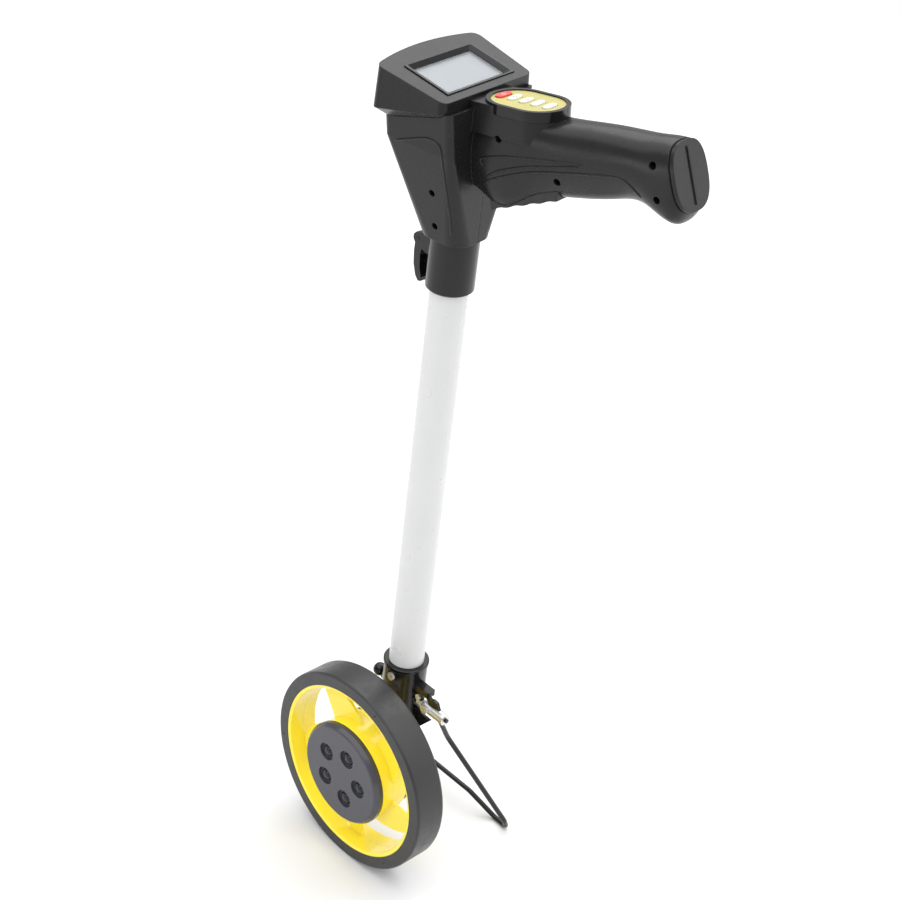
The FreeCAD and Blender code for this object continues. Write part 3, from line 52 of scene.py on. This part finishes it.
def make_camera():
    """The photograph's viewpoint: right, up and back directions of a 72 mm lens."""
    right = Vector((0.68028927, 0.72564818, 0.10315631))
    up = Vector((-0.45080823, 0.30328534, 0.83951768))
    back = Vector((0.57790868, -0.61761859, 0.53344994))
    place = Vector((0.721571, -0.714092, 1.006632))
    data = bpy.data.cameras.new("camera")
    data.lens = 72.0
    data.sensor_width = 36.0
    camera = bpy.data.objects.new("camera", data)
    turn = Matrix((right, up, back)).transposed().to_4x4()
    camera.matrix_world = Matrix.Translation(place) @ turn
    bpy.context.scene.collection.objects.link(camera)
    bpy.context.scene.camera = camera


def area_light(name, place, target, size, power):
    """A softbox at a place, facing a target; size in metres and power in watts."""
    data = bpy.data.lights.new(name, "AREA")
    data.shape = "RECTANGLE"
    data.size, data.size_y = size
    data.energy = power
    light = bpy.data.objects.new(name, data)
    light.visible_camera = False
    aim = (Vector(target) - Vector(place)).to_track_quat("-Z", "Y")
    light.matrix_world = Matrix.Translation(place) @ aim.to_matrix().to_4x4()
    bpy.context.scene.collection.objects.link(light)


def make_lights():
    """A pale surround, a wide ceiling light and three softboxes that edge the black parts."""
    world = bpy.data.worlds.new("studio")
    world.use_nodes = True
    background = world.node_tree.nodes["Background"]
    background.inputs["Color"].default_value = (1.0, 1.0, 1.0, 1.0)
    background.inputs["Strength"].default_value = SURROUND_STRENGTH
    bpy.context.scene.world = world
    bpy.context.scene.view_settings.view_transform = "Standard"
    middle = (0.02, 0.03, 0.35)
    area_light("overhead", (0.0, 0.0, 2.8), middle, (6.0, 6.0), 180.0)
    area_light("back_softbox", (-0.68, 1.11, 1.74), (0.0, 0.04, 0.6), (1.7, 1.5), 10.0)
    area_light("front_softbox", (-0.4, -1.7, 0.5), middle, (0.45, 0.45), 3.0)
    area_light("right_softbox", (1.2, 1.45, 0.75), middle, (1.4, 1.6), 8.0)


def make_floor():
    """A plain sheet of pale paper, wide enough to reach the horizon."""
    mesh = bpy.data.meshes.new("floor")
    reach = FLOOR_REACH
    corners = [(-reach, -reach, 0), (reach, -reach, 0), (reach, reach, 0), (-reach, reach, 0)]
    mesh.from_pydata(corners, [], [(0, 1, 2, 3)])
    floor = bpy.data.objects.new("floor", mesh)
    bpy.context.scene.collection.objects.link(floor)
    material = bpy.data.materials.new("floor_paper")
    material.use_nodes = True
    shader = material.node_tree.nodes["Principled BSDF"]
    shader.inputs["Base Color"].default_value = (FLOOR_GREY, FLOOR_GREY, FLOOR_GREY, 1.0)
    shader.inputs["Roughness"].default_value = 0.95
    mesh.materials.append(material)


# ---------------------------------------------------------------- materials

DUST = (0.42, 0.41, 0.39)
PORE_DUST = (0.20, 0.19, 0.18)
# a mix node has one set of sockets for each kind of value; these are the places of those for colours
FIRST_COLOUR = 6
SECOND_COLOUR = 7
MIXED_COLOUR = 2


class Recipe:
    """Nodes of one procedural material, added step by step."""

    def __init__(self, name):
        self.material = bpy.data.materials.new(name)
        self.material.use_nodes = True
        self.tree = self.material.node_tree
        self.shader = self.tree.nodes["Principled BSDF"]
        self.coordinates = self.tree.nodes.new("ShaderNodeTexCoord").outputs["Object"]
        self.bump = None

    def soften_edges(self, radius):
        """Rounds the look of every hard edge by a radius in metres."""
        node = self.tree.nodes.new("ShaderNodeBevel")
        node.samples = 4
        node.inputs["Radius"].default_value = radius
        self.bump = node.outputs["Normal"]
        self.link(self.bump, self.shader.inputs["Normal"])

    def link(self, start, end):
        self.tree.links.new(start, end)

    def noise(self, scale, detail=3.0, stretch=(1, 1, 1), rough=0.55):
        """Clouds from 0 to 1, so many to a metre along each stretched axis."""
        mapping = self.tree.nodes.new("ShaderNodeMapping")
        mapping.inputs["Scale"].default_value = stretch
        self.link(self.coordinates, mapping.inputs["Vector"])
        texture = self.tree.nodes.new("ShaderNodeTexNoise")
        texture.inputs["Scale"].default_value = scale
        texture.inputs["Detail"].default_value = detail
        texture.inputs["Roughness"].default_value = rough
        self.link(mapping.outputs["Vector"], texture.inputs["Vector"])
        return texture.outputs["Fac"]

    def ramp(self, value, low, high, to_low=0.0, to_high=1.0):
        """Moves a value's range from low and high to two new ends."""
        node = self.tree.nodes.new("ShaderNodeMapRange")
        node.inputs["From Min"].default_value = low
        node.inputs["From Max"].default_value = high
        node.inputs["To Min"].default_value = to_low
        node.inputs["To Max"].default_value = to_high
        self.link(value, node.inputs["Value"])
        return node.outputs["Result"]

    def mix(self, factor, first, second):
        """Blends two colours, each a tuple or another node's output."""
        node = self.tree.nodes.new("ShaderNodeMix")
        node.data_type = "RGBA"
        self.link(factor, node.inputs["Factor"])
        for place, colour in ((FIRST_COLOUR, first), (SECOND_COLOUR, second)):
            socket = node.inputs[place]
            if isinstance(colour, tuple):
                socket.default_value = (*colour, 1.0)
            else:
                self.link(colour, socket)
        return node.outputs[MIXED_COLOUR]

    def colour(self, colour):
        self.link(colour, self.shader.inputs["Base Color"])

    def roughness(self, value):
        self.link(value, self.shader.inputs["Roughness"])

    def relief(self, height, depth, strength=1.0):
        """Adds a bump on top of the ones before it; depth in metres."""
        node = self.tree.nodes.new("ShaderNodeBump")
        node.inputs["Strength"].default_value = strength
        node.inputs["Distance"].default_value = depth
        self.link(height, node.inputs["Height"])
        if self.bump is not None:
            self.link(self.bump, node.inputs["Normal"])
        self.bump = node.outputs["Normal"]
        self.link(self.bump, self.shader.inputs["Normal"])


def shade(colour, factor):
    """A darker or lighter tone of a colour."""
    return tuple(min(1.0, c * factor) for c in colour)


def moulded(name, colour, rough, spread=0.06, grain=2600.0, depth=0.00003, mottle=0.12, dust=0.0,
            edge=0.0006, shine=0.5):
    """Injection-moulded plastic: fine grain, faint flow marks, fingerprints and a little dust."""
    recipe = Recipe(name)
    recipe.soften_edges(edge)
    recipe.shader.inputs["Specular IOR Level"].default_value = shine
    clouds = recipe.ramp(recipe.noise(28.0, 4.0), 0.3, 0.7)
    body = recipe.mix(clouds, shade(colour, 1.0 - mottle), shade(colour, 1.0 + mottle))
    if dust > 0.0:
        specks = recipe.ramp(recipe.noise(900.0, 5.0, rough=0.7), 0.62, 0.78, 0.0, dust)
        body = recipe.mix(specks, body, DUST)
    recipe.colour(body)
    smears = recipe.noise(65.0, 5.0, stretch=(1.0, 1.4, 0.6), rough=0.65)
    recipe.roughness(recipe.ramp(smears, 0.25, 0.75, rough - spread, rough + spread))
    recipe.relief(recipe.noise(grain, 2.0), depth)
    recipe.relief(recipe.noise(110.0, 2.0), 0.00006, 0.5)
    return recipe


def glossy(name, colour, rough, mottle=0.05, shine=0.5, coat=0.35):
    """Smooth shiny plastic with hairline scratches and slight waves in the reflections."""
    recipe = moulded(name, colour, rough, 0.05, grain=1400.0, depth=0.000008, mottle=mottle, edge=0.0004,
                     shine=shine)
    scratches = recipe.noise(500.0, 2.0, stretch=(0.15, 1.0, 1.0), rough=0.8)
    recipe.relief(recipe.ramp(scratches, 0.62, 0.7), 0.000006, 0.4)
    recipe.shader.inputs["Coat Weight"].default_value = coat
    recipe.shader.inputs["Coat Roughness"].default_value = 0.08
    return recipe


def metal(name, colour, rough, stretch):
    """Turned or drawn metal: fine lines, long where the stretch is small, with patches of dullness."""
    recipe = Recipe(name)
    spread = 0.08
    recipe.soften_edges(0.0003)
    lines = recipe.noise(1500.0, 3.0, stretch=stretch, rough=0.7)
    patches = recipe.noise(120.0, 4.0)
    recipe.colour(recipe.mix(recipe.ramp(patches, 0.3, 0.7), shade(colour, 0.86), colour))
    recipe.roughness(recipe.ramp(lines, 0.3, 0.7, rough - spread, rough + spread))
    recipe.relief(lines, 0.00001, 0.6)
    recipe.shader.inputs["Metallic"].default_value = 1.0
    return recipe


def coated(name, colour, rough, peel=420.0, shine=0.5):
    """Powder coat or paint with orange peel and a few dull scuffs."""
    recipe = Recipe(name)
    recipe.shader.inputs["Specular IOR Level"].default_value = shine
    scuffs = recipe.ramp(recipe.noise(420.0, 6.0, stretch=(1, 1, 0.12), rough=0.75), 0.6, 0.85, 0.0, 0.1)
    tone = recipe.mix(recipe.ramp(recipe.noise(18.0, 3.0), 0.3, 0.7), shade(colour, 0.975), colour)
    recipe.colour(recipe.mix(scuffs, tone, shade(colour, 0.93)))
    recipe.roughness(recipe.ramp(recipe.noise(75.0, 4.0), 0.3, 0.7, rough - 0.05, rough + 0.08))
    recipe.relief(recipe.noise(peel, 2.0), 0.00002, 0.6)
    return recipe


def rubbery(name, colour, rough):
    """Soft rubber: matt, dusty in the pores, greyer where it is rubbed."""
    recipe = Recipe(name)
    recipe.soften_edges(0.0012)
    rubbed = recipe.ramp(recipe.noise(45.0, 5.0, rough=0.65), 0.42, 0.72, 0.0, 0.5)
    body = recipe.mix(rubbed, colour, shade(colour, 1.35))
    specks = recipe.ramp(recipe.noise(1300.0, 4.0, rough=0.75), 0.66, 0.8, 0.0, 0.16)
    recipe.colour(recipe.mix(specks, body, PORE_DUST))
    recipe.roughness(recipe.ramp(recipe.noise(160.0, 4.0), 0.3, 0.7, rough - 0.08, rough + 0.1))
    recipe.relief(recipe.noise(1800.0, 3.0), 0.00005)
    recipe.relief(recipe.noise(240.0, 3.0), 0.00008, 0.5)
    return recipe


def make_lens(name):
    """A thin clear window: mostly see-through, with a faint smeared sheen."""
    recipe = Recipe(name)
    recipe.shader.inputs["Base Color"].default_value = (0.86, 0.9, 0.93, 1.0)
    recipe.shader.inputs["Alpha"].default_value = 0.14
    recipe.roughness(recipe.ramp(recipe.noise(220.0, 5.0, rough=0.7), 0.35, 0.75, 0.05, 0.18))
    recipe.relief(recipe.noise(900.0, 2.0), 0.000004, 0.4)
    return recipe


def make_screen(name):
    """The blank display: a soft grey-blue with the fine grid of its cells."""
    recipe = Recipe(name)
    clouds = recipe.ramp(recipe.noise(22.0, 2.0), 0.3, 0.7)
    recipe.colour(recipe.mix(clouds, (0.15, 0.168, 0.188), (0.162, 0.18, 0.2)))
    recipe.shader.inputs["Specular IOR Level"].default_value = 0.25
    recipe.roughness(recipe.ramp(recipe.noise(800.0, 2.0), 0.3, 0.7, 0.28, 0.42))
    grid = recipe.tree.nodes.new("ShaderNodeTexWave")
    grid.inputs["Scale"].default_value = 320.0
    recipe.link(recipe.coordinates, grid.inputs["Vector"])
    recipe.relief(grid.outputs["Fac"], 0.000006, 0.3)
    return recipe


def make_board(name):
    """Solder resist with faint copper tracks under it."""
    recipe = moulded(name, (0.02, 0.16, 0.07), 0.35, grain=2000.0)
    tracks = recipe.ramp(recipe.noise(240.0, 0.0), 0.48, 0.5)
    recipe.colour(recipe.mix(tracks, (0.015, 0.13, 0.055), (0.04, 0.24, 0.1)))
    return recipe


def make_materials():
    """One material for each slot of the record."""
    made = {
        "tyre_rubber": rubbery("tyre_rubber", (0.02, 0.02, 0.021), 0.36),
        "yellow_plastic": glossy("yellow_plastic", (1.0, 0.82, 0.05), 0.24, mottle=0.02),
        "keypad_film": moulded("keypad_film", (0.45, 0.41, 0.14), 0.3, grain=900.0, mottle=0.04, shine=0.3),
        "hub_plastic": moulded("hub_plastic", (0.05, 0.051, 0.066), 0.22, depth=0.000006, mottle=0.05,
                               dust=0.02),
        "black_gloss": glossy("black_gloss", (0.006, 0.006, 0.007), 0.19, shine=0.3, coat=0.15),
        "black_case": moulded("black_case", (0.012, 0.012, 0.013), 0.28, depth=0.000016, dust=0.01,
                              edge=0.0009, shine=0.27),
        "grip_rubber": rubbery("grip_rubber", (0.014, 0.014, 0.015), 0.55),
        "white_tube": coated("white_tube", (0.66, 0.662, 0.665), 0.3),
        "alloy_tube": metal("alloy_tube", (0.5, 0.505, 0.515), 0.34, (1.0, 1.0, 0.02)),
        "steel": metal("steel", (0.8, 0.8, 0.79), 0.46, (0.05, 1.0, 1.0)),
        "black_steel": coated("black_steel", (0.007, 0.007, 0.008), 0.2, peel=900.0, shine=0.35),
        "magnet": metal("magnet", (0.75, 0.75, 0.77), 0.18, (1.0, 1.0, 1.0)),
        "nylon": moulded("nylon", (0.78, 0.77, 0.72), 0.4, grain=900.0),
        "board_green": make_board("board_green"),
        "brass": metal("brass", (0.85, 0.65, 0.3), 0.3, (1.0, 0.1, 1.0)),
        "lens": make_lens("lens"),
        "screen": make_screen("screen"),
        "red_key": glossy("red_key", (0.72, 0.035, 0.03), 0.3),
        "white_key": glossy("white_key", (0.86, 0.86, 0.8), 0.3),
        "cell_wrap": glossy("cell_wrap", (0.05, 0.16, 0.1), 0.22),
    }
    return {name: recipe.material for name, recipe in made.items()}


def paint(piece, material):
    piece.data.materials.clear()
    piece.data.materials.append(material)


def paint_nodes(materials):
    """Gives each CAD node the material of its slot in the record."""
    for entry in frame["record"]["subparts"]:
        paint(nodes[entry["node"]], materials[entry["material_slot"]])


# ---------------------------------------------------------------- relief on the case

HEAD_TURN = math.radians(7.74)
POLE_AXIS = Vector((0.0, 0.0378, 0.0))
MILLIMETRE = 0.001


def head_point(x, y, z):
    """A point given in millimetres along, across and up the head."""
    cos, sin = math.cos(HEAD_TURN), math.sin(HEAD_TURN)
    return POLE_AXIS + Vector((x * cos - y * sin, x * sin + y * cos, z)) * MILLIMETRE


def head_direction(x, y, z):
    """A direction given along, across and up the head."""
    return (head_point(x, y, z) - POLE_AXIS).normalized()


def surface_of(names):
    """The outside of some CAD nodes, for placing details on it."""
    corners, faces = [], []
    for name in names:
        mesh = nodes[name].data
        start = len(corners)
        corners.extend(vertex.co.copy() for vertex in mesh.vertices)
        faces.extend([start + i for i in polygon.vertices] for polygon in mesh.polygons)
    return BVHTree.FromPolygons(corners, faces)


def smooth_path(points):
    """A Catmull-Rom curve through some points, cut into short steps."""
    steps = 10
    padded = [points[0]] + points + [points[-1]]
    path = []
    for a, b, c, d in zip(padded, padded[1:], padded[2:], padded[3:]):
        for i in range(steps):
            t = i / steps
            path.append(0.5 * (2 * b + (c - a) * t + (2 * a - 5 * b + 4 * c - d) * t * t
                               + (3 * b - a - 3 * c + d) * t * t * t))
    path.append(points[-1])
    return path


def mesh_piece(name, corners, faces, material, body, smooth=True):
    """A new piece made of some faces, moving with a body."""
    mesh = bpy.data.meshes.new(name)
    mesh.from_pydata(corners, [], faces)
    mesh.validate()
    mesh.update()
    if smooth:
        mesh.polygons.foreach_set("use_smooth", [True] * len(mesh.polygons))
    piece = bpy.data.objects.new(name, mesh)
    bpy.context.scene.collection.objects.link(piece)
    piece.data.materials.append(material)
    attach(piece, body)
    return piece


LINE_WIDTH = 1.9 * MILLIMETRE
LINE_HEIGHT = 0.7 * MILLIMETRE
TAPER_STEPS = 4
TAPER_START = 0.4
OUTSIDE_CASE = 80.0
# across and out of the surface, as shares of a bead's width and height
BEAD_PROFILE = [(-0.5, -0.35), (-0.36, 0.45), (-0.15, 0.9), (0.15, 0.9), (0.36, 0.45), (0.5, -0.35)]


def bead(name, outline, hand, surface, materials):
    """A raised line moulded on one side of the case, along an outline of (x, z) points."""
    corners, faces = [], []
    path = smooth_path([Vector((x, z)) for x, z in outline])
    spots = []
    for x, z in path:
        outside = head_point(x, hand * OUTSIDE_CASE, z)
        place, normal, _, _ = surface.ray_cast(outside, head_direction(0, -hand, 0))
        if place is not None:
            spots.append((place, normal))
    for i, (place, normal) in enumerate(spots):
        ahead = spots[min(i + 1, len(spots) - 1)][0] - spots[max(i - 1, 0)][0]
        across = normal.cross(ahead).normalized()
        taper = min(1.0, (min(i, len(spots) - 1 - i) + TAPER_START) / TAPER_STEPS)
        for side, rise in BEAD_PROFILE:
            corners.append(place + across * side * LINE_WIDTH * taper + normal * rise * LINE_HEIGHT * taper)
    ring = len(BEAD_PROFILE)
    for i in range(len(spots) - 1):
        for j in range(ring):
            k = (j + 1) % ring
            faces.append((i * ring + j, i * ring + k, (i + 1) * ring + k, (i + 1) * ring + j))
    faces.append(tuple(range(ring - 1, -1, -1)))
    faces.append(tuple(range((len(spots) - 1) * ring, len(spots) * ring)))
    mesh_piece(name, corners, faces, materials["black_case"], "head")


# points of each line, in millimetres along and up the head
SIDE_LINES = {
    "upper_flank_line": [(97.7, 598.2), (77.1, 593.2), (56.0, 588.0), (40.6, 583.6), (26.5, 577.8),
                         (24.6, 574.5), (28.0, 572.4)],
    "middle_flank_line": [(28.0, 564.0), (37.8, 572.7), (56.6, 582.3), (77.4, 589.6), (95.0, 596.0)],
    "lower_flank_line": [(26.0, 560.2), (40.4, 569.9), (61.3, 580.3), (84.4, 588.1), (111.7, 596.2),
                         (122.9, 598.4), (129.7, 596.3), (137.6, 591.0)],
    "neck_panel_line": [(-29.1, 574.8), (-15.1, 580.7), (-2.0, 585.8), (5.7, 585.5), (9.1, 581.2),
                        (10.4, 566.8), (11.2, 549.1), (11.6, 532.6), (11.3, 519.2)],
}


def make_side_lines(materials):
    """The lines along the handle's flanks and round the panel of the neck, on both sides."""
    surface = surface_of(("left_shell", "right_shell"))
    for name, outline in SIDE_LINES.items():
        for hand, side in ((-1, "left"), (1, "right")):
            bead(f"{side}_{name}", outline, hand, surface, materials)


# ---------------------------------------------------------------- window of the display

DISPLAY_TILT = math.radians(11.6)
SCREEN_GAP = 0.2 * MILLIMETRE


def make_window(materials):
    """The clear window with a hair's gap behind it, so that its back doesn't blend with the screen."""
    solid = nodes["display_window"].data
    outward = head_direction(math.sin(DISPLAY_TILT), 0, math.cos(DISPLAY_TILT))
    depths = [vertex.co.dot(outward) for vertex in solid.vertices]
    middle = (min(depths) + max(depths)) / 2
    corners = [vertex.co + outward * SCREEN_GAP if depth < middle else vertex.co.copy()
               for vertex, depth in zip(solid.vertices, depths)]
    faces = [tuple(polygon.vertices) for polygon in solid.polygons]
    window = mesh_piece("clear_window", corners, faces, materials["lens"], "head", smooth=False)
    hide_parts("display_window")


# ---------------------------------------------------------------- marks on the keys

KEYPAD_TILT = math.radians(6.5)
KEYPAD_CENTRE = (41.9, 614.6)
KEY_PITCH = 8.6
KEY_TOP = 0.9
# key, its place in pitches along the keypad, corners of its mark, and the mark's stretch across
KEY_MARKS = [
    ("power_key", -2.15, 28, 1.0),
    ("mode_key", -1.17, 4, 1.5),
    ("memory_key", -0.17, 28, 1.0),
    ("count_key", 0.83, 3, 1.2),
    ("reset_key", 1.83, 4, 1.0),
]


def keypad_point(along, across, lift):
    """A point given in millimetres along, across and out of the tilted keypad."""
    cos, sin = math.cos(KEYPAD_TILT), math.sin(KEYPAD_TILT)
    x, z = KEYPAD_CENTRE
    return head_point(x + along * cos - lift * sin, across, z + along * sin + lift * cos)


def ring_mark(name, along, sides, stretch, material, body):
    """A small printed outline with so many corners, standing just proud of a key."""
    outer, inner, low, high = 1.35, 0.95, KEY_TOP - 0.05, KEY_TOP + 0.04
    corners, faces = [], []
    for i in range(sides):
        angle = 2 * math.pi * i / sides
        for reach, lift in ((outer, low), (outer, high), (inner, high), (inner, low)):
            corners.append(keypad_point(along + reach * math.cos(angle),
                                        reach * stretch * math.sin(angle), lift))
    for i in range(sides):
        start, following = 4 * i, 4 * ((i + 1) % sides)
        for j in range(4):
            k = (j + 1) % 4
            faces.append((start + j, following + j, following + k, start + k))
    mesh_piece(name, corners, faces, material, body, smooth=False)


def make_key_marks(materials):
    """A plain outline on each key, in place of its printed symbol."""
    for key, place, sides, stretch in KEY_MARKS:
        slot = "white_key" if key == "power_key" else "black_case"
        ring_mark(key + "_mark", place * KEY_PITCH, sides, stretch, materials[slot], key)


make_camera()
make_lights()
make_floor()
materials = make_materials()
paint_nodes(materials)
make_side_lines(materials)
make_window(materials)
make_key_marks(materials)
